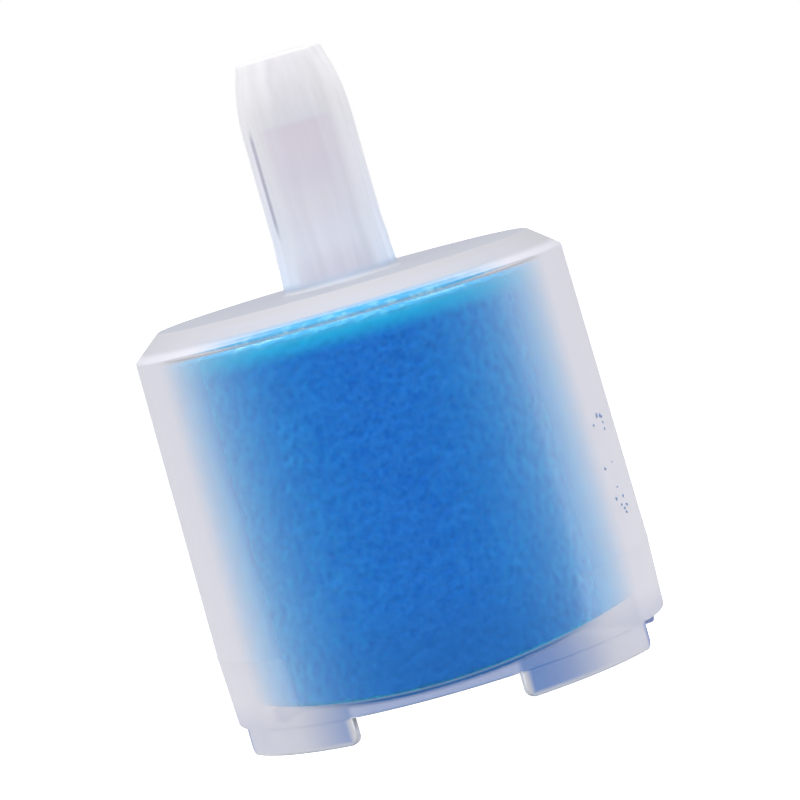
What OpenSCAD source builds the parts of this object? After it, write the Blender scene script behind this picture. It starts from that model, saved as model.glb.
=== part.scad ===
// Sponge filter for the end of a suction hose: an open-bottomed cup with a hose stem,
// and a foam block that fills it. +Z runs up the common axis, and z = 0 is under the feet.
// All sizes are in millimetres.

/* [Cup] */
// Diameter at the parting line, the widest place
cup_d = 50; // [44:0.5:56]
// Diameter where the side wall meets the chamfer
shoulder_d = 49.1; // [43:0.1:50]
// Diameter of the rim that the feet stand on
rim_d = 49.3; // [43:0.1:50]
// Diameter of the flat top
top_d = 42.6; // [36:0.1:43]
// Height of the flat top above the surface it stands on
top_z = 47.4; // [40:0.1:60]
// Height of the shoulder, under the chamfer
shoulder_z = 44.8; // [38:0.1:46]
// Height of the parting line round the wall
parting_z = 10.8; // [6:0.1:20]
// Thickness of the side wall and the chamfer
wall = 1.1; // [0.8:0.05:1.4]
// Thickness of the flat top
roof = 1.2; // [0.8:0.05:1.6]

/* [Feet] */
// Height of the feet, from the surface to the rim
foot_h = 2.9; // [1.5:0.1:5]
// Width of the gap between two feet
gap_w = 18.8; // [12:0.2:24]
// Radius of each foot's lower corners
toe_r = 1; // [0.3:0.1:1.2]
// Radius of the fillet between foot and rim
root_r = 0.5; // [0.2:0.1:0.8]

/* [Hose stem] */
// Diameter of the straight stretch that grips the hose
stem_d = 12.4; // [9:0.1:14]
// Length of the stem above the flat top
stem_h = 26.2; // [20:0.1:32]
// Diameter of the stem at its foot, above the fillet
stem_foot_d = 13.1; // [10:0.1:15]
// Height above the top where the straight stretch starts
grip_start = 6; // [4:0.1:8]
// Height above the top where the nose starts to narrow
nose_start = 17.8; // [14:0.1:20]
// Radius of the arc that narrows the nose
nose_arc_r = 24; // [20:0.5:40]
// Radius of the round edge at the stem's tip
tip_r = 0.7; // [0.4:0.1:1]
// Radius of the fillet between stem and top
stem_fillet = 0.6; // [0.3:0.1:1]
// Bore of the stem below the nose
bore_d = 7.2; // [5:0.1:9]
// Bore of the nose
nose_bore_d = 4.2; // [3:0.1:5]
// Height above the top of the step between the two bores
bore_step = 18.4; // [15:0.1:22]

/* [Foam] */
// Diameter of the foam block in the cup
foam_d = 46.4; // [40:0.1:46.4]
// Height of its underside
foam_z0 = 3.6; // [3:0.1:10]
// Height of its top
foam_z1 = 45.1; // [30:0.1:45.1]
// Chamfer round its top, which follows the cup's own chamfer
foam_top_edge = 1.2; // [1.2:0.1:3]
// Chamfer round its underside
foam_edge = 0.8; // [0.8:0.1:3]

/* [Hidden] */
$fn = 96;
ARC_STEPS = 12;
PAST = 1;

function inwards(p, d) = [p[0] - d, p[1]];
function arc(c, r, from, to) =
    [for (i = [0:ARC_STEPS]) let (a = from + (to - from) * i / ARC_STEPS) c + r * [cos(a), sin(a)]];

// The side wall and the chamfer, on the outside of the half section
rim_out = [rim_d / 2, foot_h];
parting_out = [cup_d / 2, parting_z];
shoulder_out = [shoulder_d / 2, shoulder_z];
top_out = [top_d / 2, top_z];

// The same on the inside, one wall in, where the chamfer is moved along its own normal
chamfer_run = top_out - shoulder_out;
chamfer_in = shoulder_out - wall * [chamfer_run[1], -chamfer_run[0]] / norm(chamfer_run);
function on_chamfer_z(x) = chamfer_in[1] + (x - chamfer_in[0]) * chamfer_run[1] / chamfer_run[0];
function on_chamfer_x(z) = chamfer_in[0] + (z - chamfer_in[1]) * chamfer_run[0] / chamfer_run[1];
ceiling_z = top_z - roof;
shoulder_in_x = shoulder_d / 2 - wall;
shoulder_in = [shoulder_in_x, on_chamfer_z(shoulder_in_x)];
ceiling_in = [on_chamfer_x(ceiling_z), ceiling_z];

// The stem's nose narrows on one arc, tangent to the grip, and its tip is rounded
tip_z = top_z + stem_h;
nose_c = [stem_d / 2 - nose_arc_r, top_z + nose_start];
nose_a = asin((stem_h - nose_start - tip_r) / nose_arc_r);
nose_end = nose_c + nose_arc_r * [cos(nose_a), sin(nose_a)];
tip_c = [nose_end[0] - tip_r, tip_z - tip_r];

// Half section of the cup and stem, without the gaps between the feet
module cup_section() {
    polygon(concat(
        [[rim_d / 2, 0], rim_out, parting_out, shoulder_out, top_out],
        arc([stem_foot_d / 2 + stem_fillet, top_z + stem_fillet], stem_fillet, 270, 180),
        [[stem_d / 2, top_z + grip_start]],
        arc(nose_c, nose_arc_r, 0, nose_a),
        arc(tip_c, tip_r, 30, 90),
        [[nose_bore_d / 2, tip_z], [nose_bore_d / 2, top_z + bore_step]],
        [[bore_d / 2, top_z + bore_step], [bore_d / 2, ceiling_z]],
        [ceiling_in, shoulder_in],
        [inwards(parting_out, wall), inwards(rim_out, wall), [rim_d / 2 - wall, 0]]
    ));
}

// Outline of one gap between two feet, seen along the radius, running out past the feet's soles
module gap_outline() {
    difference() {
        union() {
            translate([-gap_w / 2 - toe_r, -PAST]) square([gap_w + 2 * toe_r, PAST + toe_r]);
            translate([-gap_w / 2, 0]) square([gap_w, foot_h - root_r]);
            translate([-gap_w / 2 + root_r, 0]) square([gap_w - 2 * root_r, foot_h]);
            for (side = [-1, 1]) {
                translate([side * (gap_w / 2 - root_r), foot_h - root_r]) circle(root_r);
            }
        }
        for (side = [-1, 1]) {
            translate([side * (gap_w / 2 + toe_r), toe_r]) circle(toe_r);
        }
    }
}

// One moulding: hose stem, top, chamfer, side wall and four feet
module filter_cup() {
    color([0.84, 0.84, 0.91, 0.6])
    difference() {
        rotate_extrude() cup_section();
        for (turn = [0, 90]) {
            rotate([90, 0, turn])
            linear_extrude(cup_d + 2 * PAST, center = true) gap_outline();
        }
    }
}

// The foam block, a plain round block with its edges eased
module foam_block() {
    color([0.12, 0.42, 0.8])
    rotate_extrude()
    polygon([
        [0, foam_z0],
        [foam_d / 2 - foam_edge, foam_z0],
        [foam_d / 2, foam_z0 + foam_edge],
        [foam_d / 2, foam_z1 - foam_top_edge],
        [foam_d / 2 - foam_top_edge, foam_z1],
        [0, foam_z1]
    ]);
}

filter_cup();
foam_block();
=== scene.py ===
# %% [markdown]
# # A sponge filter for the end of a hose
#
# The filter is a cup of natural, milky plastic with a hose stem on top and four feet round its
# rim, and a block of blue foam that fills the cup. This file builds how it looks, around the
# imported model that says where everything is. The frame is loaded first. Nothing made here
# may grow past it.

# %% Load the frame
import math
import random

import bmesh
import bpy
from mathutils import Matrix, Vector, noise


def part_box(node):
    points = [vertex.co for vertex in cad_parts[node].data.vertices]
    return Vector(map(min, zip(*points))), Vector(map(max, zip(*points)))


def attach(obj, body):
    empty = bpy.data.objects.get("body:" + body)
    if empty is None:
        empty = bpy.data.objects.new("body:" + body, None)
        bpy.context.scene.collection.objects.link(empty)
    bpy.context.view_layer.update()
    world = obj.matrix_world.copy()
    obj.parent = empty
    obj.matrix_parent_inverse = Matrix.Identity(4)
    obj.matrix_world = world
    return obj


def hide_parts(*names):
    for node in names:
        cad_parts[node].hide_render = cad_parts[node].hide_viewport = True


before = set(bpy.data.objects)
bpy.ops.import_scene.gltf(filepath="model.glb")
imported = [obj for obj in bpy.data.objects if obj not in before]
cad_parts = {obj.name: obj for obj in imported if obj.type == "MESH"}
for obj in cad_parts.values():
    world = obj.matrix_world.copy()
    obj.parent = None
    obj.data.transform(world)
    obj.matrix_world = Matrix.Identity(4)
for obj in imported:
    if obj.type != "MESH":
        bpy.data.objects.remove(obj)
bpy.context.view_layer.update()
MM = 0.001

# %% [markdown]
# The camera comes first. It is a long lens some nine cup-widths away, which keeps the sides of
# the cup nearly parallel. It looks down by four degrees, from six degrees round from the
# middle of a gap between two feet, and it is rolled, so that the filter leans to the left.

# %% Camera
CAMERA_TURN = math.radians(5.9)
CAMERA_RISE = math.radians(3.98)
CAMERA_ROLL = math.radians(-15.96)
CAMERA_DISTANCE = 472.7 * MM
AIM_HEIGHT = 32.8 * MM
AIM_RIGHT = 2.56 * MM
LENS = 191.06
CLIP_NEAR, CLIP_FAR = 0.01, 20

right = Vector((math.cos(CAMERA_TURN), math.sin(CAMERA_TURN), 0))
back = Vector((
    math.sin(CAMERA_TURN) * math.cos(CAMERA_RISE),
    -math.cos(CAMERA_TURN) * math.cos(CAMERA_RISE),
    math.sin(CAMERA_RISE),
))
aim = right * AIM_RIGHT + Vector((0, 0, AIM_HEIGHT))
camera = bpy.data.objects.new("camera", bpy.data.cameras.new("camera"))
camera.data.lens = LENS
camera.data.clip_start = CLIP_NEAR
camera.data.clip_end = CLIP_FAR
camera.rotation_mode = "QUATERNION"
camera.rotation_quaternion = (-back).to_track_quat("-Z", "Y")
camera.rotation_quaternion @= Matrix.Rotation(CAMERA_ROLL, 3, "Z").to_quaternion()
camera.location = aim + back * CAMERA_DISTANCE
bpy.context.collection.objects.link(camera)
bpy.context.scene.camera = camera
print("camera at", [round(c, 3) for c in camera.location])

# %% [markdown]
# A studio for a milky object is white where the plastic should look bright and dark where its
# gloss would spoil the view. The world behind the filter and to its sides is pale, and the
# world on the camera's side is dark, so the front of the wall mirrors nothing and the foam
# shows its full blue. Rays that come straight from the camera see plain white all round.

# %% World
WORLD_FRONT = (0.07, 0.07, 0.08, 1)
WORLD_BACK = (0.66, 0.66, 0.68, 1)
WORLD_SEEN = (1.0, 1.0, 1.0, 1)
SKY_FRONT_Y, SKY_BACK_Y = -0.75, 0.55

scene = bpy.context.scene
scene.view_settings.view_transform = "Standard"
world = bpy.data.worlds.new("studio")
scene.world = world
world.use_nodes = True
sky = world.node_tree.nodes
sky_links = world.node_tree.links
sky_direction = sky.new("ShaderNodeTexCoord")
sky_axes = sky.new("ShaderNodeSeparateXYZ")
sky_links.new(sky_direction.outputs["Generated"], sky_axes.inputs["Vector"])
sky_depth = sky.new("ShaderNodeMapRange")
sky_depth.interpolation_type = "SMOOTHSTEP"
sky_depth.inputs["From Min"].default_value = SKY_FRONT_Y
sky_depth.inputs["From Max"].default_value = SKY_BACK_Y
sky_links.new(sky_axes.outputs["Y"], sky_depth.inputs["Value"])
sky_shade = sky.new("ShaderNodeMixRGB")
sky_shade.inputs["Color1"].default_value = WORLD_FRONT
sky_shade.inputs["Color2"].default_value = WORLD_BACK
sky_links.new(sky_depth.outputs["Result"], sky_shade.inputs["Fac"])
sky_links.new(sky_shade.outputs["Color"], sky["Background"].inputs["Color"])
seen_sky = sky.new("ShaderNodeBackground")
seen_sky.inputs["Color"].default_value = WORLD_SEEN
sky_path = sky.new("ShaderNodeLightPath")
sky_mix = sky.new("ShaderNodeMixShader")
sky_links.new(sky_path.outputs["Is Camera Ray"], sky_mix.inputs["Fac"])
sky_links.new(sky["Background"].outputs["Background"], sky_mix.inputs[1])
sky_links.new(seen_sky.outputs["Background"], sky_mix.inputs[2])
sky_links.new(sky_mix.outputs["Shader"], sky["World Output"].inputs["Surface"])
print("world: dark on the camera's side, white behind")

# %% [markdown]
# The filter is shown as it hangs from its hose, so the floor lies well below its feet. That
# leaves room for the foam to be pulled out, and then it stands on the floor.

# %% Floor
FLOOR_RADIUS, FLOOR_SIDES = 3.0, 64
FLOOR_DROP = 46.5 * MM

floor_bm = bmesh.new()
bmesh.ops.create_circle(floor_bm, cap_ends=True, radius=FLOOR_RADIUS, segments=FLOOR_SIDES)
bmesh.ops.translate(floor_bm, verts=floor_bm.verts, vec=(0, 0, -FLOOR_DROP))
floor_mesh = bpy.data.meshes.new("floor")
floor_bm.to_mesh(floor_mesh)
floor_bm.free()
floor = bpy.data.objects.new("floor", floor_mesh)
bpy.context.collection.objects.link(floor)
print("floor:", round(FLOOR_DROP / MM, 1), "mm under the feet")

# %% [markdown]
# The floor is pale, but in front of the filter it acts as a dark card, because the glossy wall
# would mirror it. The card starts 3 cm in front of the axis. Rays that come straight from the
# camera see no card: they meet a plain floor with enough glow of its own to look white.

# %% Floor paint
FLOOR_PALE = (0.85, 0.85, 0.85, 1)
FLOOR_CARD = (0.05, 0.05, 0.05, 1)
FLOOR_SEEN = (0.91, 0.91, 0.91, 1)
FLOOR_GLOW = 0.18
CARD_FROM, CARD_TO = -0.03, -0.05

floor_paint = bpy.data.materials.new("floor_paint")
floor_paint.use_nodes = True
floor_nodes = floor_paint.node_tree.nodes
floor_links = floor_paint.node_tree.links
floor_place = floor_nodes.new("ShaderNodeTexCoord")
floor_axes = floor_nodes.new("ShaderNodeSeparateXYZ")
floor_card = floor_nodes.new("ShaderNodeMapRange")
floor_card.inputs["From Min"].default_value = CARD_FROM
floor_card.inputs["From Max"].default_value = CARD_TO
floor_shade = floor_nodes.new("ShaderNodeMixRGB")
floor_shade.inputs["Color1"].default_value = FLOOR_PALE
floor_shade.inputs["Color2"].default_value = FLOOR_CARD
floor_links.new(floor_place.outputs["Object"], floor_axes.inputs["Vector"])
floor_links.new(floor_axes.outputs["Y"], floor_card.inputs["Value"])
floor_links.new(floor_card.outputs["Result"], floor_shade.inputs["Fac"])
floor_body = floor_nodes["Principled BSDF"]
floor_body.inputs["Roughness"].default_value = 1.0
floor_body.inputs["Emission Strength"].default_value = FLOOR_GLOW
floor_links.new(floor_shade.outputs["Color"], floor_body.inputs["Base Color"])
floor_links.new(floor_shade.outputs["Color"], floor_body.inputs["Emission Color"])
floor_plain = floor_nodes.new("ShaderNodeBsdfDiffuse")
floor_plain.inputs["Color"].default_value = FLOOR_PALE
floor_glow = floor_nodes.new("ShaderNodeEmission")
floor_glow.inputs["Color"].default_value = FLOOR_SEEN
floor_seen = floor_nodes.new("ShaderNodeAddShader")
floor_links.new(floor_plain.outputs["BSDF"], floor_seen.inputs[0])
floor_links.new(floor_glow.outputs["Emission"], floor_seen.inputs[1])
floor_path = floor_nodes.new("ShaderNodeLightPath")
floor_mix = floor_nodes.new("ShaderNodeMixShader")
floor_links.new(floor_path.outputs["Is Camera Ray"], floor_mix.inputs["Fac"])
floor_links.new(floor_body.outputs["BSDF"], floor_mix.inputs[1])
floor_links.new(floor_seen.outputs["Shader"], floor_mix.inputs[2])
floor_links.new(floor_mix.outputs["Shader"], floor_nodes["Material Output"].inputs["Surface"])
floor.data.materials.append(floor_paint)
print("floor paint:", len(floor_nodes), "nodes")

# %% [markdown]
# Three square soft lamps light the filter: one on each side of the camera, and a weaker one
# above it. The two side lamps are hidden from gloss, so only the middle one shows as a
# highlight.

# %% Lamps
LAMPS = (
    ("lamp_left", (-0.66, -0.56, 0.52), 0.5, 6.0, False),
    ("lamp_right", (0.72, -0.50, 0.46), 0.5, 4.9, False),
    ("lamp_front", (0.05, -0.55, 0.75), 0.4, 2.3, True),
)

for name, lamp_place, size, watts, shows_in_gloss in LAMPS:
    lamp = bpy.data.objects.new(name, bpy.data.lights.new(name, "AREA"))
    lamp.data.size = size
    lamp.data.energy = watts
    lamp.location = lamp_place
    away = Vector(lamp_place) - Vector((0, 0, AIM_HEIGHT))
    lamp.rotation_euler = away.to_track_quat("Z", "Y").to_euler()
    lamp.visible_glossy = shows_in_gloss
    bpy.context.collection.objects.link(lamp)
print("soft lamps:", len(LAMPS))

# %% [markdown]
# The cup is one moulding, so it is one piece here, in place of the plain CAD node. A maker
# would turn its half section round the axis, and so does this file. The outline is a short
# list of corners, each with a radius and a height in millimetres and the size of its fillet,
# because every edge of a moulding is a little round and those edges are what catch the light.

# %% Sizes of the cup
cup_low, cup_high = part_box("filter_cup")
CUP_R = cup_high[0] / MM
TIP_Z = cup_high[2] / MM
WALL, ROOF = 1.1, 1.2
RIM_Z, RIM_R = 2.9, 24.65
PARTING_Z = 10.8
SHOULDER_Z, SHOULDER_R = 44.8, 24.55
TOP_Z, TOP_R = 47.4, 21.3
CEILING_Z = TOP_Z - ROOF
STEM_R, STEM_FOOT_R = 6.2, 6.55
GRIP_Z, NOSE_Z = TOP_Z + 6.0, TOP_Z + 17.8
NOSE_ARC_R = 24.0
BORE_R, NOSE_BORE_R = 3.6, 2.1
BORE_STEP_Z = TOP_Z + 18.4
TURN_STEPS = 144
print("cup radius", round(CUP_R, 2), "mm, from", round(cup_low[2] / MM, 2), "to", round(TIP_Z, 2))

# %% [markdown]
# Two helpers make an outline. `rounded` puts an arc in each corner that has a fillet, and
# `divided` cuts long straight runs into short ones, so that smooth shading stays even along
# the wall.

# %% Outline helpers
FILLET_STEPS = 5
LONGEST_RUN = 2.2


def rounded(corners):
    """The closed outline through corners (x, z, fillet), with an arc for each fillet."""
    outline = []
    for i, (x, z, fillet) in enumerate(corners):
        here = Vector((x, z))
        if fillet == 0:
            outline.append(here)
            continue
        to_last = (Vector(corners[i - 1][:2]) - here).normalized()
        to_next = (Vector(corners[(i + 1) % len(corners)][:2]) - here).normalized()
        half = to_last.angle(to_next) / 2
        centre = here + (to_last + to_next).normalized() * fillet / math.sin(half)
        first = here + to_last * fillet / math.tan(half) - centre
        last = here + to_next * fillet / math.tan(half) - centre
        turn = math.atan2(first.x * last.y - first.y * last.x, first.dot(last))
        for step in range(FILLET_STEPS + 1):
            outline.append(centre + Matrix.Rotation(turn * step / FILLET_STEPS, 2) @ first)
    return outline


def divided(outline, longest):
    """The same closed outline with no run longer than longest."""
    points = []
    for here, after in zip(outline, outline[1:] + outline[:1]):
        runs = max(1, math.ceil((after - here).length / longest))
        points += [here.lerp(after, run / runs) for run in range(runs)]
    return points


square = [(0, 0, 0), (4, 0, 1), (4, 4, 0), (0, 4, 0)]
print("a 4 mm square with one fillet:", len(divided(rounded(square), LONGEST_RUN)), "points")

# %% [markdown]
# The outline starts at the rim's outer edge and goes up the outside. The wall widens to the
# parting line, where the two halves of the mould met and left a hair-fine ridge, and then
# narrows to the shoulder. After the chamfer and the top come the stem's foot, its straight
# grip, and the nose that narrows on one long arc. The inside follows one wall in. Each corner
# is written as its radius, its height and its fillet.

# %% Outline of the cup
RIDGE = 0.06
RIDGE_HALF = 0.14
NOSE_STEPS = 10
TIP_ROUND = 0.7
TIP_CUT, TIP_DROP = 0.1, 0.25
CEILING_R, INNER_SHOULDER_Z = 21.04, 44.27

nose_turn = math.asin((TIP_Z - TIP_ROUND - NOSE_Z) / NOSE_ARC_R)
nose = [
    (STEM_R - NOSE_ARC_R * (1 - math.cos(nose_turn * k / NOSE_STEPS)),
     NOSE_Z + NOSE_ARC_R * math.sin(nose_turn * k / NOSE_STEPS), 0)
    for k in range(NOSE_STEPS)
]
tip_r = STEM_R - NOSE_ARC_R * (1 - math.cos(nose_turn))
corners = [
    (RIM_R, RIM_Z, 0),
    (CUP_R - RIDGE, PARTING_Z - RIDGE_HALF, 0),
    (CUP_R, PARTING_Z, 0),
    (CUP_R - RIDGE, PARTING_Z + RIDGE_HALF, 0),
    (SHOULDER_R, SHOULDER_Z, 0.35),
    (TOP_R, TOP_Z, 0.5),
    (STEM_FOOT_R, TOP_Z, 0.6),
    (STEM_R, GRIP_Z, 0),
    *nose,
    (tip_r - TIP_CUT, TIP_Z - TIP_DROP, 0.55),
    (NOSE_BORE_R, TIP_Z, 0.35),
    (NOSE_BORE_R, BORE_STEP_Z, 0.25),
    (BORE_R, BORE_STEP_Z, 0.4),
    (BORE_R, CEILING_Z, 0.5),
    (CEILING_R, CEILING_Z, 0.4),
    (SHOULDER_R - WALL, INNER_SHOULDER_Z, 0.5),
    (CUP_R - WALL, PARTING_Z, 0),
    (RIM_R - WALL, RIM_Z, 0),
]
cup_outline = divided(rounded(corners), LONGEST_RUN)
print("cup outline:", len(cup_outline), "points")

# %% [markdown]
# `bmesh.ops.spin` turns the outline round the axis. It turns in steps of 2.5 degrees, so that
# a step falls on each end of a foot: feet and gaps are 45 degrees each. The full turn merges
# its last ring into its first, and the normals are then made to point out of the plastic.

# %% Turn the cup
MERGE = 0.002 * MM

cup_bm = bmesh.new()
ring = [cup_bm.verts.new((p.x * MM, 0, p.y * MM)) for p in cup_outline]
loop = [cup_bm.edges.new(pair) for pair in zip(ring, ring[1:] + ring[:1])]
bmesh.ops.spin(
    cup_bm, geom=ring + loop, cent=(0, 0, 0), axis=(0, 0, 1), dvec=(0, 0, 0),
    angle=math.tau, steps=TURN_STEPS, use_merge=True, use_duplicate=False,
)
bmesh.ops.remove_doubles(cup_bm, verts=cup_bm.verts, dist=MERGE)
bmesh.ops.recalc_face_normals(cup_bm, faces=cup_bm.faces)
print("turned cup:", len(cup_bm.faces), "faces")

# %% [markdown]
# The feet are pulled down out of the rim, as a sculptor would do it: the flat faces under the
# wall are picked where a foot stands and extruded down to its sole. Bevels then round each
# foot's two lower corners widely, and fill the corner where it meets the rim. A last, small
# bevel takes the sharpness off every edge round the mouth.

# %% Feet
FOOT_TURN = math.radians(45)
TOE_R, ROOT_R, EDGE_R = 1.0, 0.5, 0.2
TOE_STEPS, ROOT_STEPS, EDGE_STEPS = 7, 5, 3
SHARP = math.radians(40)
MOUTH_Z = RIM_Z + 0.5
NEAR, NEAR_TURN = 0.01 * MM, 0.001


def turn_of(point):
    """How far round the axis a point is from the middle of the nearest foot, in radians."""
    turn = math.atan2(point.y, point.x) % (2 * FOOT_TURN)
    return abs(turn - FOOT_TURN)


rim_faces = [f for f in cup_bm.faces if all(abs(v.co.z - RIM_Z * MM) < NEAR for v in f.verts)]
foot_faces = [f for f in rim_faces if turn_of(f.calc_center_median()) < FOOT_TURN / 2]
pulled = bmesh.ops.extrude_face_region(cup_bm, geom=foot_faces)["geom"]
soles = [v for v in pulled if isinstance(v, bmesh.types.BMVert)]
bmesh.ops.translate(cup_bm, verts=soles, vec=(0, 0, -RIM_Z * MM))


def foot_corner_edges(height):
    """The short edges through the wall at the ends of the feet, at that height in mm."""
    found = []
    for edge in cup_bm.edges:
        flat = all(abs(v.co.z - height * MM) < NEAR for v in edge.verts)
        at_end = all(abs(turn_of(v.co) - FOOT_TURN / 2) < NEAR_TURN for v in edge.verts)
        if flat and at_end:
            found.append(edge)
    return found


def bevel_edges(edges, size, segments):
    """Rounds these edges of the cup by size in mm."""
    bmesh.ops.bevel(
        cup_bm, geom=edges, offset=size * MM, offset_type="OFFSET", affect="EDGES",
        segments=segments, profile=0.5, material=-1, clamp_overlap=True,
    )


toes, roots = foot_corner_edges(0), foot_corner_edges(RIM_Z)
bevel_edges(toes, TOE_R, TOE_STEPS)
bevel_edges(roots, ROOT_R, ROOT_STEPS)
sharp_edges = [
    e for e in cup_bm.edges
    if len(e.link_faces) == 2 and e.calc_face_angle() > SHARP
    and max(v.co.z for v in e.verts) < MOUTH_Z * MM
]
bevel_edges(sharp_edges, EDGE_R, EDGE_STEPS)
print("feet:", len(toes), "rounded toes,", len(roots), "roots,", len(sharp_edges), "softened edges")

# %% [markdown]
# The finished mesh goes into an object that sits at the origin, as the CAD nodes do. Its
# faces are shaded smooth, and a Weighted Normal modifier keeps the broad faces flat beside
# their narrow fillets. The cup stands for the CAD node and rides on its body.

# %% Cup piece


def make_piece(name, bm):
    """An object at the origin with the mesh of bm, shaded smooth."""
    mesh = bpy.data.meshes.new(name)
    bm.to_mesh(mesh)
    bm.free()
    mesh.polygons.foreach_set("use_smooth", [True] * len(mesh.polygons))
    piece = bpy.data.objects.new(name, mesh)
    bpy.context.collection.objects.link(piece)
    return piece


open_edges = [e for e in cup_bm.edges if len(e.link_faces) != 2]
cup = make_piece("cup_moulding", cup_bm)
normals = cup.modifiers.new("even_normals", "WEIGHTED_NORMAL")
normals.keep_sharp = True
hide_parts("filter_cup")
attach(cup, "cup")
print("cup:", len(cup.data.polygons), "faces,", len(open_edges), "open edges")

# %% [markdown]
# The foam is one round block of open-cell filter foam, cut from a slab. Its own sizes come
# from the box of the CAD node that it stands for. The sizes of its cells, and how far it is
# out of true, are chosen here.

# %% Sizes of the foam
foam_low, foam_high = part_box("foam_block")
FOAM_R = foam_high[0] / MM
FOAM_LOW, FOAM_HIGH = foam_low[2] / MM, foam_high[2] / MM
FOAM_STEPS = 440
FOAM_RUN = 0.33
FOAM_LOW_EDGE, FOAM_TOP_EDGE = 0.8, 1.2
CELL, CELL_DEPTH, CELL_REACH = 0.78, 0.18, 0.55
SWELL, SWELL_SPAN = 0.12, 5
ARCH, ARCH_REACH = 2.4, 14
print("foam radius", round(FOAM_R, 2), "mm, from", round(FOAM_LOW, 2), "to", round(FOAM_HIGH, 2))

# %% [markdown]
# The block is turned like the cup, from an outline with fine runs, because its cells will be
# real dents and need points close together. Its two flat ends are rings, closer together
# towards the edge, where the end can be seen.

# %% Turn the foam
FACE_RINGS, RING_POWER = 26, 1.5
FOAM_FACE_R = FOAM_R - FOAM_TOP_EDGE
TOP_FACE_R = FOAM_FACE_R - 1

side_corners = [
    (FOAM_FACE_R, FOAM_LOW, 0),
    (FOAM_R - FOAM_LOW_EDGE, FOAM_LOW, 0.4),
    (FOAM_R, FOAM_LOW + FOAM_LOW_EDGE, 0.4),
    (FOAM_R, FOAM_HIGH - FOAM_TOP_EDGE, 0.5),
    (FOAM_FACE_R, FOAM_HIGH, 0.5),
    (TOP_FACE_R, FOAM_HIGH, 0),
]
side = divided(rounded(side_corners), FOAM_RUN)
side = side[:1 + side.index(Vector((TOP_FACE_R, FOAM_HIGH)))]


def disc_rings(radius, height):
    """Points across a flat end of the block from the axis out, finer towards the edge."""
    shares = [1 - (1 - k / FACE_RINGS) ** RING_POWER for k in range(FACE_RINGS)]
    return [Vector((radius * share, height)) for share in shares]


foam_outline = disc_rings(FOAM_FACE_R, FOAM_LOW) + side + disc_rings(TOP_FACE_R, FOAM_HIGH)[::-1]
foam_bm = bmesh.new()
strand = [foam_bm.verts.new((p.x * MM, 0, p.y * MM)) for p in foam_outline]
runs = [foam_bm.edges.new(pair) for pair in zip(strand, strand[1:])]
bmesh.ops.spin(
    foam_bm, geom=strand + runs, cent=(0, 0, 0), axis=(0, 0, 1), dvec=(0, 0, 0),
    angle=math.tau, steps=FOAM_STEPS, use_merge=True, use_duplicate=False,
)
bmesh.ops.remove_doubles(foam_bm, verts=foam_bm.verts, dist=MERGE)
bmesh.ops.recalc_face_normals(foam_bm, faces=foam_bm.faces)
foam_bm.normal_update()
print("turned foam:", len(foam_bm.faces), "faces")

# %% [markdown]
# Foam is cut with a hot wire or a saw, so its skin is a field of open cells, under a
# millimetre across. Each point moves in along its normal by how close it is to the middle of
# a cell, and slower swells keep the block from looking turned. The base is pushed up towards
# its left and right sides, as the squeeze of the cup does to a block that is a little too
# big. The piece is padded and quite full, and nothing in it hangs or drapes, so it needs no
# cloth simulation.

# %% Open the cells


def cell_dent(point):
    """How deep the skin lies at a point in mm, from 0 between cells to 1 inside one."""
    near = noise.voronoi(point / CELL, distance_metric="DISTANCE")[0]
    return max(0.0, 1 - near[0] / CELL_REACH)


dents = {}
for vert in foam_bm.verts:
    at = vert.co / MM
    swell = 0.5 + 0.5 * noise.noise(at / SWELL_SPAN)
    dents[vert] = SWELL * swell + CELL_DEPTH * cell_dent(at)
for vert, dent in dents.items():
    across = vert.co.x / MM / FOAM_R
    near_base = max(0.0, 1 - (vert.co.z / MM - FOAM_LOW) / ARCH_REACH)
    vert.co -= vert.normal * dent * MM
    vert.co.z += ARCH * across ** 2 * near_base * MM
foam = make_piece("blue_foam", foam_bm)
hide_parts("foam_block")
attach(foam, "foam")
print("foam:", len(foam.data.polygons), "faces, cells", CELL, "mm across")

# %% [markdown]
# A few crumbs of the foam cling to the right of the cup, where a hand has rubbed them on.
# Each is a small ball, pushed out of shape and pressed flat on the wall.

# %% Foam crumbs
CRUMB_COUNT = 16
CRUMB_TURN, CRUMB_SPREAD = math.radians(-17), math.radians(7)
CRUMB_Z = (14.5, 26.0)
CRUMB_SIZE, CRUMB_STRETCH, CRUMB_THICK = (0.08, 0.20), (0.8, 1.8), 0.05
CRUMB_LUMPS, LUMP_SCALE = 0.5, 1.7
CRUMB_SEED = 11

random.seed(CRUMB_SEED)
crumb_bm = bmesh.new()
for _ in range(CRUMB_COUNT):
    crumb_turn = random.gauss(CRUMB_TURN, CRUMB_SPREAD / 2)
    crumb_z = random.uniform(*CRUMB_Z)
    crumb_size = random.uniform(*CRUMB_SIZE)
    along_wall = (crumb_z - PARTING_Z) / (SHOULDER_Z - PARTING_Z)
    wall_r = CUP_R + (SHOULDER_R - CUP_R) * along_wall
    flake = bmesh.ops.create_icosphere(crumb_bm, subdivisions=2, radius=1)["verts"]
    for vert in flake:
        lump_at = vert.co * LUMP_SCALE + Vector((crumb_z, crumb_turn, 0))
        vert.co *= 1 + CRUMB_LUMPS * noise.noise(lump_at)
    crumb_roll = random.uniform(0, math.pi)
    crumb_long = crumb_size * random.uniform(*CRUMB_STRETCH)
    shape = (
        Matrix.Rotation(crumb_turn, 4, "Z")
        @ Matrix.Translation((wall_r * MM, 0, crumb_z * MM))
        @ Matrix.Rotation(crumb_roll, 4, "X")
        @ Matrix.Diagonal((CRUMB_THICK * MM, crumb_size * MM, crumb_long * MM, 1))
    )
    bmesh.ops.transform(crumb_bm, matrix=shape, verts=flake)
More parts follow.
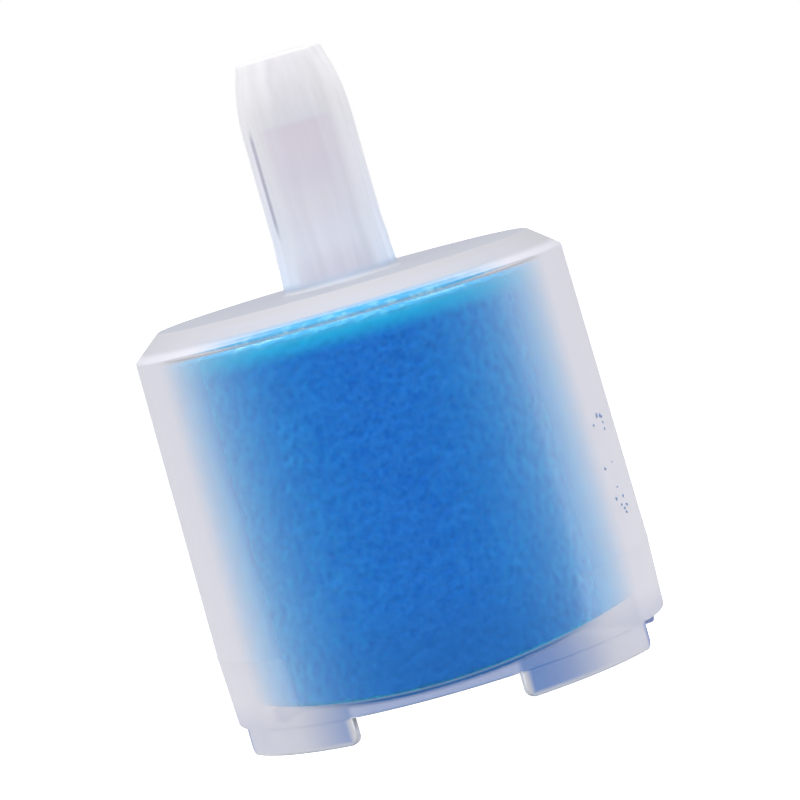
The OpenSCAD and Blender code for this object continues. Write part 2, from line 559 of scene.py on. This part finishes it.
crumbs = make_piece("foam_crumbs", crumb_bm)
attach(crumbs, "cup")
print("crumbs:", CRUMB_COUNT, "flakes")

# %% [markdown]
# Now the finishes. Node trees are easier to read when each node takes one line, so a few
# helpers make them. They all work on `tree`, the node tree of the finish in hand, which is
# first the plastic's. `plug` puts a constant or another node's output into a socket, and
# `add_node` makes a node and plugs its inputs by name. The others make the nodes that come
# again and again.

# %% Node helpers
plastic = bpy.data.materials.new("milky_plastic_frosted_painted_light")
plastic.use_nodes = True
tree = plastic.node_tree


def plug(socket, source):
    """Links an output to a socket, or sets a constant on it."""
    if isinstance(source, bpy.types.NodeSocket):
        tree.links.new(source, socket)
    else:
        socket.default_value = source


def add_node(kind, inputs=()):
    """A new node with its inputs plugged from pairs of input name and source."""
    node = tree.nodes.new(kind)
    for name, source in dict(inputs).items():
        plug(node.inputs[name], source)
    return node


def add_math(operation, *terms):
    """The output of a Math node that works on terms, each a number or an output."""
    node = add_node("ShaderNodeMath", enumerate(terms))
    node.operation = operation
    return node.outputs["Value"]


def add_run(source, start, end, low=0.0, high=1.0, smooth=True):
    """A run from low to high while the source goes from start to end."""
    node = add_node("ShaderNodeMapRange", {
        "Value": source, "From Min": start, "From Max": end, "To Min": low, "To Max": high,
    })
    node.interpolation_type = "SMOOTHSTEP" if smooth else "LINEAR"
    return node.outputs["Result"]


def add_blend(share, first, second, kind="MIX"):
    """A blend of two colours by share, each of them a constant or an output."""
    node = add_node("ShaderNodeMixRGB", {"Fac": share, "Color1": first, "Color2": second})
    node.blend_type = kind
    return node.outputs["Color"]


def add_noise(place, scale, detail=2.0, roughness=0.5):
    """A noise over place, with scale in grains per metre."""
    return add_node("ShaderNodeTexNoise", {
        "Vector": place, "Scale": scale, "Detail": detail, "Roughness": roughness,
    }).outputs["Fac"]


print("helpers: plug, add_node, add_math, add_run, add_blend, add_noise")

# %% [markdown]
# The plastic is natural polyethylene. Looked at squarely, its thin wall lets the foam's blue
# through, a little blurred by the frosted surface. Looked at along the wall, there is ten
# times as much plastic in the way, and it turns to plain milk. So a rough glass and a milky
# body are mixed, by a share called haze. Haze depends on how squarely the wall is met, which
# Layer Weight says, and on height, because lid, stem and feet are thicker than the wall.

# %% Places on the plastic
plastic_place = add_node("ShaderNodeTexCoord")
plastic_at = plastic_place.outputs["Object"]
axes = add_node("ShaderNodeSeparateXYZ", {"Vector": plastic_at})
plastic_slope = add_node("ShaderNodeSeparateXYZ", {"Vector": plastic_place.outputs["Normal"]})
level = plastic_slope.outputs["Z"]
facing = add_node("ShaderNodeLayerWeight", {"Blend": 0.5}).outputs["Facing"]


def height_mask(start, end):
    """A mask that goes from 0 at height start to 1 at height end, in mm."""
    return add_run(axes.outputs["Z"], start * MM, end * MM)


print("places on the plastic:", len(tree.nodes), "nodes")

# %% [markdown]
# The chamfer and the lid are as good as opaque, and the stem is a thick tube, a little clearer
# than they are. Each haze starts at a height and is full within a millimetre.

# %% Haze of the lid and the stem
LID_HAZE_Z, LID_HAZE = (45.15, 45.8), 0.94
STEM_HAZE_Z, STEM_HAZE = (TOP_Z + 0.4, TOP_Z + 1.4), 0.80

lid_mask = height_mask(*LID_HAZE_Z)
stem_mask = height_mask(*STEM_HAZE_Z)
lid_haze = add_math("MULTIPLY", lid_mask, LID_HAZE)
stem_drop = add_math("MULTIPLY", stem_mask, LID_HAZE - STEM_HAZE)
upper_haze = add_math("SUBTRACT", lid_haze, stem_drop)
print("haze: lid", LID_HAZE, "and stem", STEM_HAZE)

# %% [markdown]
# Light that falls through the lid makes the foam's top edge glow, and the glow spreads in the
# thick corner of the plastic outside it. That glow is painted: a narrow ring of haze at the
# shoulder carries a painted cyan glow.

# %% Haze of the shoulder, for a painted glow
PAINTED_GLOW_UP, PAINTED_GLOW_DOWN, PAINTED_GLOW_HAZE = (44.3, 44.65), (45.3, 45.05), 0.80

# Painted glow: the ring of haze where the foam's cyan light is painted on the shoulder.
painted_glow_mask = add_math("MULTIPLY", height_mask(*PAINTED_GLOW_UP), height_mask(*PAINTED_GLOW_DOWN))
painted_glow_haze = add_math("MULTIPLY", painted_glow_mask, PAINTED_GLOW_HAZE)
print("haze: shoulder", PAINTED_GLOW_HAZE, "from", PAINTED_GLOW_UP[0], "to", PAINTED_GLOW_DOWN[0], "mm")

# %% [markdown]
# Below the foam the rim and the feet are hazy too. The foam's underside is arched, so their
# haze starts along the same arch, a share of the square of X. The rounded edges, along each
# sole and up the sides of the gaps, catch more light than the flat of the foot; a frame of more
# haze round it carries that light as a painted highlight. The gaps run along X and Y, so the
# distance from an axis finds their sides.

# %% Haze of the feet
FOOT_HAZE_Z, FOOT_HAZE = (4.5, 4.1), 0.85
SOLE_Z, FEET_Z, HIGHLIGHT_FRAME_HAZE = (0.7, 0.1), (3.2, 2.7), 0.85
GAP_SIDE = 9.4
SIDE_FAR, SIDE_NEAR = 1.1, 0.2
GAP_OUTER, GAP_INNER = GAP_SIDE + 0.5, GAP_SIDE - 0.4

x_squared = add_math("MULTIPLY", axes.outputs["X"], axes.outputs["X"])
arch_rise = add_math("MULTIPLY", x_squared, ARCH * MM / (FOAM_R * MM) ** 2)
over_arch = add_math("SUBTRACT", axes.outputs["Z"], arch_rise)
foot_mask = add_run(over_arch, FOOT_HAZE_Z[0] * MM, FOOT_HAZE_Z[1] * MM)
foot_haze = add_math("MULTIPLY", foot_mask, FOOT_HAZE)
feet_only = height_mask(*FEET_Z)
beside_gap, in_gap = {}, {}
for axis in ("X", "Y"):
    off_middle = add_math("ABSOLUTE", axes.outputs[axis])
    from_side = add_math("ABSOLUTE", add_math("SUBTRACT", off_middle, GAP_SIDE * MM))
    near_side = add_run(from_side, SIDE_FAR * MM, SIDE_NEAR * MM)
    beside_gap[axis] = add_math("MULTIPLY", near_side, feet_only)
    in_gap[axis] = add_run(off_middle, GAP_OUTER * MM, GAP_INNER * MM)
above_gap = add_math("MAXIMUM", in_gap["X"], in_gap["Y"])
# Painted highlight: the frame along the soles and up the sides of the gaps.
highlight_frame = add_math("MAXIMUM", height_mask(*SOLE_Z), beside_gap["X"])
highlight_frame = add_math("MAXIMUM", highlight_frame, beside_gap["Y"])
highlight_frame_haze = add_math("MULTIPLY", highlight_frame, HIGHLIGHT_FRAME_HAZE)
print("haze: feet", FOOT_HAZE, "and their frame", HIGHLIGHT_FRAME_HAZE)

# %% [markdown]
# On the wall there is next to no haze where it is met squarely. It grows by a power of how far
# the wall turns away, until it is nearly full, and a smooth minimum rounds the bend there,
# which would show as an upright line. A ray that leaves the plastic again adds no haze.

# %% Haze of the wall
HAZE_END, HAZE_POWER = 0.55, 2.2
HAZE_LEAST, HAZE_MOST, HAZE_BEND = 0.008, 0.97, 0.3

steep = add_math("POWER", add_math("DIVIDE", facing, HAZE_END), HAZE_POWER)
growing = add_math("ADD", steep, HAZE_LEAST)
haze = add_math("SMOOTH_MIN", growing, HAZE_MOST, HAZE_BEND)
# The shoulder's ring carries a painted glow, and the feet's frame a painted highlight.
for more_haze in (upper_haze, painted_glow_haze, foot_haze, highlight_frame_haze):
    haze = add_math("MAXIMUM", haze, more_haze)
which_side = add_node("ShaderNodeNewGeometry")
from_outside = add_math("SUBTRACT", 1.0, which_side.outputs["Backfacing"])
haze_share = add_math("MULTIPLY", haze, from_outside)
print("haze: from", HAZE_LEAST, "square to the wall to", HAZE_MOST, "along it")

# %% [markdown]
# The milk isn't one white. Up the stem it is warm at the root, faintly violet round the wide
# bore, and paler in the nose, where the bore is narrow. The stem's two sides are lightest,
# because there one looks along the wall of the tube.

# %% Milk of the stem
BORE_MILK_Z, ROOT_MILK_Z = (56.0, 61.0), (53.0, 48.5)
NOSE_MILK_Z = (BORE_STEP_Z - 0.5, BORE_STEP_Z + 0.2)
STEM_MILK = (0.85, 0.80, 0.81, 1)
BORE_MILK = (0.815, 0.75, 0.80, 1)
ROOT_MILK = (0.76, 0.67, 0.67, 1)
NOSE_MILK = (0.825, 0.805, 0.84, 1)
EDGE_MILK, EDGE_FACING = (0.93, 0.915, 0.93, 1), (0.08, 0.42)

stem_milk = add_blend(height_mask(*BORE_MILK_Z), STEM_MILK, BORE_MILK)
stem_milk = add_blend(height_mask(*ROOT_MILK_Z), stem_milk, ROOT_MILK)
stem_milk = add_blend(height_mask(*NOSE_MILK_Z), stem_milk, NOSE_MILK)
stem_milk = add_blend(add_run(facing, *EDGE_FACING), stem_milk, EDGE_MILK)
print("milk of the stem: 5 tones")

# %% [markdown]
# Melt that flows along a stem leaves marks. One is a thin grey line up its left, set by how
# far a point is from an upright plane through the axis. The others are faint streaks, made by
# a noise that is stretched along the axis and multiplied into the milk.

# %% Flow marks
FLOW_TURN, FLOW_HALF, FLOW_CORE = math.radians(-143), 0.6, 0.06
FLOW_UP, FLOW_DOWN, FLOW_LEFT = (53.0, 56.0), (66.5, 64.5), -2.0
FLOW_MILK = (0.50, 0.50, 0.60, 1)
STREAK_SCALE, STREAK_STRETCH = 700.0, (1.0, 1.0, 0.06)
STREAK_RUN, STREAK_SHADE = (0.35, 0.65), (0.96, 1.025)

aside_x = add_math("MULTIPLY", axes.outputs["X"], -math.sin(FLOW_TURN))
aside_y = add_math("MULTIPLY", axes.outputs["Y"], math.cos(FLOW_TURN))
aside = add_math("ABSOLUTE", add_math("ADD", aside_x, aside_y))
flow_long = add_math("MULTIPLY", height_mask(*FLOW_UP), height_mask(*FLOW_DOWN))
flow_near = add_run(aside, FLOW_HALF * MM, FLOW_CORE * MM)
flow_side = add_run(axes.outputs["X"], 0.0, FLOW_LEFT * MM)
flow_mark = add_math("MULTIPLY", add_math("MULTIPLY", flow_near, flow_long), flow_side)
stem_milk = add_blend(flow_mark, stem_milk, FLOW_MILK)
stretch = add_node("ShaderNodeMapping", {"Vector": plastic_at, "Scale": STREAK_STRETCH})
streaks = add_noise(stretch.outputs["Vector"], STREAK_SCALE)
streak_shade = add_run(streaks, *STREAK_RUN, *STREAK_SHADE)
stem_milk = add_blend(1.0, stem_milk, streak_shade, "MULTIPLY")
print("flow marks: one line and streaks of", STREAK_SHADE)

# %% [markdown]
# The ring at the shoulder is painted with the cyan of the glowing foam, a painted glow, with
# paler specks for its struts. It shows from level with the cup and fades to plain milk from
# elsewhere: seen level, facing grows with the tilt of the surface, so the difference of the two
# tells how far the view is from that. The lid is met at a slant, and it is painted greyer than
# the chamfer, a painted shade.

# %% Milk of the shoulder and the lid, with a painted glow and a painted shade
WALL_MILK = (0.775, 0.77, 0.835, 1)
CHAMFER_MILK, LID_SHADED_MILK, SHADED_LID_LEVEL = (0.61, 0.61, 0.65, 1), (0.52, 0.54, 0.60, 1), (0.93, 0.99)
PAINTED_GLOW_CYAN, PAINTED_GLOW_SPECK = (0.07, 0.44, 0.80, 1), (0.22, 0.62, 0.88, 1)
GLOW_SPECK_SCALE, GLOW_SPECK_RUN = 900.0, (0.48, 0.66)
TILT_SHARE, PAINTED_GLOW_FADE, PAINTED_GLOW_START = 0.33, (0.08, 0.28), (0.0, 0.15)

# Painted glow: cyan with paler specks, fading to the wall's milk away from level.
painted_glow_specks = add_noise(plastic_at, GLOW_SPECK_SCALE)
painted_glow = add_blend(add_run(painted_glow_specks, *GLOW_SPECK_RUN), PAINTED_GLOW_CYAN, PAINTED_GLOW_SPECK)
tilt = add_math("MULTIPLY", level, TILT_SHARE)
off_level = add_math("ABSOLUTE", add_math("SUBTRACT", facing, tilt))
painted_glow = add_blend(add_run(off_level, *PAINTED_GLOW_FADE), painted_glow, WALL_MILK)
wall_milk_and_painted_glow = add_blend(add_run(painted_glow_mask, *PAINTED_GLOW_START), WALL_MILK, painted_glow)
# Painted shade: the flat lid's milk is greyer than the chamfer's.
lid_milk_painted_shade = add_blend(add_run(level, *SHADED_LID_LEVEL), CHAMFER_MILK, LID_SHADED_MILK)
print("milk of the shoulder: speckled", GLOW_SPECK_SCALE, "per metre")

# %% [markdown]
# The feet and the rim hold some of the blue light that the foam throws down into them, and it
# is painted into their milk. It is deepest where they are met squarely, paler in the band above
# a gap, and darkest in a thin line right under the foam, a painted shade. Along the wall it
# gives way to milk. The frame of each foot is plain milk as well, painted as a highlight, except
# at the gaps that open along X: there the light has come through the whole length of a foot, and
# is painted blue.

# %% Milk of the feet, with painted light and shade
# Painted light and shade: the foam's blue in the feet, paler above a gap, darkest under the foam.
FOOT_PAINTED_BLUE, GAP_BAND_PAINTED_LIGHT = (0.065, 0.21, 0.59, 1), (0.36, 0.46, 0.77, 1)
BRIM_PAINTED_SHADE, BRIM_SHADE_Z = (0.03, 0.135, 0.42, 1), (3.5, 4.05)
FOOT_MILK, FOOT_MILK_Z = (0.64, 0.655, 0.76, 1), (6.5, 2.9)
FRAME_PAINTED_HIGHLIGHT, END_PAINTED_LIGHT = (0.68, 0.69, 0.74, 1), (0.28, 0.34, 0.64, 1)
SQUARE_FACING = (0.05, 0.36)

foot_painted_light = add_blend(above_gap, FOOT_PAINTED_BLUE, GAP_BAND_PAINTED_LIGHT)
brim_shade_mask = add_run(over_arch, BRIM_SHADE_Z[0] * MM, BRIM_SHADE_Z[1] * MM)
foot_painted_light = add_blend(brim_shade_mask, foot_painted_light, BRIM_PAINTED_SHADE)
foot_along = add_blend(height_mask(*FOOT_MILK_Z), WALL_MILK, FOOT_MILK)
foot_milk_painted_light = add_blend(add_run(facing, *SQUARE_FACING), foot_painted_light, foot_along)
# Painted highlight on the frame, and painted blue light at the ends of the gaps along X.
foot_milk_painted_light = add_blend(highlight_frame, foot_milk_painted_light, FRAME_PAINTED_HIGHLIGHT)
foot_milk_painted_light = add_blend(beside_gap["Y"], foot_milk_painted_light, END_PAINTED_LIGHT)
print("milk of the feet: 5 tones")

# %% [markdown]
# The masks that set the haze by height also put the milks together: the wall's, then the
# lid's over it, the stem's over that, and the feet's at the other end.

# %% Milk of the whole cup
# The wall's milk holds the painted glow, the lid's a painted shade, the feet's painted light.
milk_colour = add_blend(lid_mask, wall_milk_and_painted_glow, lid_milk_painted_shade)
milk_colour = add_blend(stem_mask, milk_colour, stem_milk)
milk_colour = add_blend(foot_mask, milk_colour, foot_milk_painted_light)
print("haze and milk:", len(tree.nodes), "nodes")

# %% [markdown]
# The mould was blasted above the parting line, so the surface is finely frosted there and
# smoother below. The stem is rougher still. The frost is a fine bump, and the flow's streaks
# add to it.

# %% Frosted surface
FROST_SCALE, FROST_DETAIL = 3200.0, 3.0
FROST_BUMP, FROST_DEPTH = 0.10, 0.05
ROUGH_SMOOTH, ROUGH_STEP = 0.07, 0.05
BLAST_EDGE = 0.1

frost = add_noise(plastic_at, FROST_SCALE, FROST_DETAIL)
blasted = height_mask(PARTING_Z - BLAST_EDGE, PARTING_Z + BLAST_EDGE)
relief = add_math("ADD", add_math("MULTIPLY", frost, blasted), streaks)
frost_bump = add_node("ShaderNodeBump", {
    "Strength": FROST_BUMP, "Distance": FROST_DEPTH * MM, "Height": relief,
}).outputs["Normal"]
rough_steps = add_math("ADD", blasted, stem_mask)
roughness = add_math("MULTIPLY_ADD", rough_steps, ROUGH_STEP, ROUGH_SMOOTH)
print("roughness: from", ROUGH_SMOOTH, "in steps of", ROUGH_STEP)

# %% [markdown]
# The glass and the milk are now mixed by the haze. The wall also lets lamp light pass to the
# foam, which a shell of rough glass does only after very many samples, so shadow rays and
# diffuse rays meet it as clear.

# %% Milky plastic
CLEAR_TINT = (0.95, 0.96, 0.98, 1)
PASS_TINT = (0.94, 0.94, 0.96, 1)
PLASTIC_IOR, MILK_ROUGH, MILK_GLOSS = 1.45, 0.55, 0.3

clear = tree.nodes["Principled BSDF"]
plug(clear.inputs["Base Color"], CLEAR_TINT)
plug(clear.inputs["IOR"], PLASTIC_IOR)
plug(clear.inputs["Transmission Weight"], 1.0)
plug(clear.inputs["Roughness"], roughness)
plug(clear.inputs["Normal"], frost_bump)
milk = add_node("ShaderNodeBsdfPrincipled", {
    "Base Color": milk_colour, "Roughness": MILK_ROUGH,
    "Specular IOR Level": MILK_GLOSS, "Normal": frost_bump,
})
body = add_node("ShaderNodeMixShader", {
    "Fac": haze_share, 1: clear.outputs["BSDF"], 2: milk.outputs["BSDF"],
})
light_path = add_node("ShaderNodeLightPath")
rays = [light_path.outputs[name] for name in ("Is Shadow Ray", "Is Diffuse Ray")]
let_through = add_node("ShaderNodeBsdfTransparent", {"Color": PASS_TINT})
with_passage = add_node("ShaderNodeMixShader", {
    "Fac": add_math("MAXIMUM", *rays), 1: body.outputs["Shader"], 2: let_through.outputs["BSDF"],
})
plug(tree.nodes["Material Output"].inputs["Surface"], with_passage.outputs["Shader"])
cup.data.materials.append(plastic)
print("milky plastic:", len(tree.nodes), "nodes")

# %% [markdown]
# The foam's dye goes right through it, a strong blue. The hollows of the cells are painted
# darker than the struts, a painted shade, and the dye varies a little in clouds. Seen along its
# side one looks at ever more struts and fewer hollows, so both colours pale towards a painted
# sheen, by Layer Weight.

# %% Cells with painted shade, and painted sheen of the foam
CLOUD_SCALE, CLOUD_DETAIL, CLOUD_ROUGH = 560.0, 3.0, 0.6
CELL_RUN, CLOUD_RUN, CLOUD_LEAST = (0.05, 0.55), (0.32, 0.62), 0.35
DYE_SHADED_HOLLOW, DYE_STRUT = (0.003, 0.164, 0.69, 1), (0.010, 0.228, 0.82, 1)
PAINTED_SHEEN_DEEP, PAINTED_SHEEN_STRUT = (0.010, 0.42, 0.90, 1), (0.020, 0.58, 1.0, 1)
PAINTED_SHEEN_FULL = 0.48

foam_finish = bpy.data.materials.new("foam_blue_and_painted_light")
foam_finish.use_nodes = True
tree = foam_finish.node_tree
foam_place = add_node("ShaderNodeTexCoord")
foam_at = foam_place.outputs["Object"]
cells = add_node("ShaderNodeTexVoronoi", {"Vector": foam_at, "Scale": 1 / (CELL * MM)})
clouds = add_noise(foam_at, CLOUD_SCALE, CLOUD_DETAIL, CLOUD_ROUGH)
# Painted shade: the middle of each cell is darker than its struts.
cell_painted_shade = add_run(cells.outputs["Distance"], *CELL_RUN, smooth=False)
mottle = add_run(clouds, *CLOUD_RUN, CLOUD_LEAST, smooth=False)
strut_share_shade_and_clouds = add_math("MULTIPLY", cell_painted_shade, mottle)
foam_facing = add_node("ShaderNodeLayerWeight", {"Blend": 0.5}).outputs["Facing"]
# Painted sheen: both colours pale to cyan where the side turns away.
painted_sheen = add_run(foam_facing, 0.0, PAINTED_SHEEN_FULL, smooth=False)
hollow_shade_and_sheen = add_blend(painted_sheen, DYE_SHADED_HOLLOW, PAINTED_SHEEN_DEEP)
strut_and_painted_sheen = add_blend(painted_sheen, DYE_STRUT, PAINTED_SHEEN_STRUT)
colour = add_blend(strut_share_shade_and_clouds, hollow_shade_and_sheen, strut_and_painted_sheen)
print("foam cells:", CELL, "mm, sheen full at", PAINTED_SHEEN_FULL)

# %% [markdown]
# Thin wisps run through the block, where the struts bunched as the foam rose. They are the
# ridges of a noise, where it crosses its middle value. Low in the cup less light comes in, so
# the colour is painted darker towards the base, a painted shade, except along the sides, where
# the painted sheen takes over.

# %% Wisps and painted shade of the foam
WISP_SCALE, WISP_DETAIL, WISP_ROUGH = 520.0, 6.0, 0.72
WISP_MIDDLE, WISP_HALF, WISP_MOST = 0.5, 0.05, 0.34
DYE_WISP, LOW_PAINTED_SHADE = (0.045, 0.33, 0.90, 1), (0.016, 0.190, 0.60, 1)
LOW_Z, LOW_SHADE_MOST, LOW_PAINTED_SHEEN = (16.0, 6.0), 0.6, 0.7

wisps = add_noise(foam_at, WISP_SCALE, WISP_DETAIL, WISP_ROUGH)
wisp_away = add_math("ABSOLUTE", add_math("SUBTRACT", wisps, WISP_MIDDLE))
wisp_share = add_run(wisp_away, WISP_HALF, 0.0, 0.0, WISP_MOST, smooth=False)
colour = add_blend(wisp_share, colour, DYE_WISP)
foam_height = add_node("ShaderNodeSeparateXYZ", {"Vector": foam_at}).outputs["Z"]
# Painted shade: darker towards the base, except where the painted sheen is.
low_shade_share = add_run(foam_height, LOW_Z[0] * MM, LOW_Z[1] * MM, 0.0, LOW_SHADE_MOST)
not_painted_sheen = add_run(painted_sheen, 0.0, LOW_PAINTED_SHEEN, 1.0, 0.0, smooth=False)
colour = add_blend(add_math("MULTIPLY", low_shade_share, not_painted_sheen), colour, LOW_PAINTED_SHADE)
print("foam wisps:", WISP_MOST, "at most")

# %% [markdown]
# Light soaks into the struts through the bright lid, so the blue is painted paler, to cyan, in
# the top few millimetres of the side, and palest and speckled at its very edge: painted light.
# The flat top keeps its blue: the normal tells it from the side.

# %% Painted light on the top of the foam
LIT_Z, LIT_EDGE_Z = (41.2, 43.6), (43.1, 44.3)
DYE_PAINTED_LIT = (0.020, 0.58, 1.0, 1)
DYE_PAINTED_LIT_EDGE, PAINTED_LIT_SPECK = (0.12, 0.56, 0.94, 1), (0.20, 0.70, 0.98, 1)
LIT_SPECK_SCALE, LIT_SPECK_RUN = 1100.0, (0.50, 0.66)
SIDE_LEVEL = (0.95, 0.78)

foam_slope = add_node("ShaderNodeSeparateXYZ", {"Vector": foam_place.outputs["Normal"]})
side_share = add_run(foam_slope.outputs["Z"], *SIDE_LEVEL)
lit_share = add_math("MULTIPLY", add_run(foam_height, *[z * MM for z in LIT_Z]), side_share)
lit_edge_share = add_math("MULTIPLY", add_run(foam_height, *[z * MM for z in LIT_EDGE_Z]), side_share)
lit_edge_specks = add_run(add_noise(foam_at, LIT_SPECK_SCALE), *LIT_SPECK_RUN)
# Painted light: cyan at the top of the side, palest and speckled at its edge.
colour = add_blend(lit_share, colour, DYE_PAINTED_LIT)
colour = add_blend(lit_edge_share, colour, add_blend(lit_edge_specks, DYE_PAINTED_LIT_EDGE, PAINTED_LIT_SPECK))
print("foam lit from", LIT_Z[0], "mm up")

# %% [markdown]
# Foam is matt, with hardly any gloss. The clouds of the dye also make a shallow bump, between
# the dents that are real.

# %% Blue foam
FOAM_ROUGH, FOAM_GLOSS = 0.95, 0.1
FOAM_BUMP, FOAM_BUMP_DEPTH = 0.5, 0.15

foam_bump = add_node("ShaderNodeBump", {
    "Strength": FOAM_BUMP, "Distance": FOAM_BUMP_DEPTH * MM, "Height": clouds,
})
foam_shader = tree.nodes["Principled BSDF"]
plug(foam_shader.inputs["Base Color"], colour)
plug(foam_shader.inputs["Roughness"], FOAM_ROUGH)
plug(foam_shader.inputs["Specular IOR Level"], FOAM_GLOSS)
plug(foam_shader.inputs["Normal"], foam_bump.outputs["Normal"])
foam.data.materials.append(foam_finish)
print("foam dye:", len(tree.nodes), "nodes")

# %% [markdown]
# The crumbs are the same foam, but their thin struts have bleached: a pale blue grey, with
# deeper patches.

# %% Crumb dye
CRUMB_PALE, CRUMB_DEEP = (0.36, 0.48, 0.72, 1), (0.18, 0.31, 0.62, 1)
CRUMB_CLOUD_SCALE, CRUMB_ROUGH = 1500.0, 0.9
CRUMB_BUMP, CRUMB_BUMP_DEPTH = 0.5, 0.05

bleached = bpy.data.materials.new("foam_crumb_bleached")
bleached.use_nodes = True
tree = bleached.node_tree
crumb_place = add_node("ShaderNodeTexCoord")
crumb_clouds = add_noise(crumb_place.outputs["Object"], CRUMB_CLOUD_SCALE)
crumb_bump = add_node("ShaderNodeBump", {
    "Strength": CRUMB_BUMP, "Distance": CRUMB_BUMP_DEPTH * MM, "Height": crumb_clouds,
})
crumb_shader = tree.nodes["Principled BSDF"]
plug(crumb_shader.inputs["Base Color"], add_blend(crumb_clouds, CRUMB_PALE, CRUMB_DEEP))
plug(crumb_shader.inputs["Roughness"], CRUMB_ROUGH)
plug(crumb_shader.inputs["Normal"], crumb_bump.outputs["Normal"])
crumbs.data.materials.append(bleached)
print("crumb dye:", len(tree.nodes), "nodes")
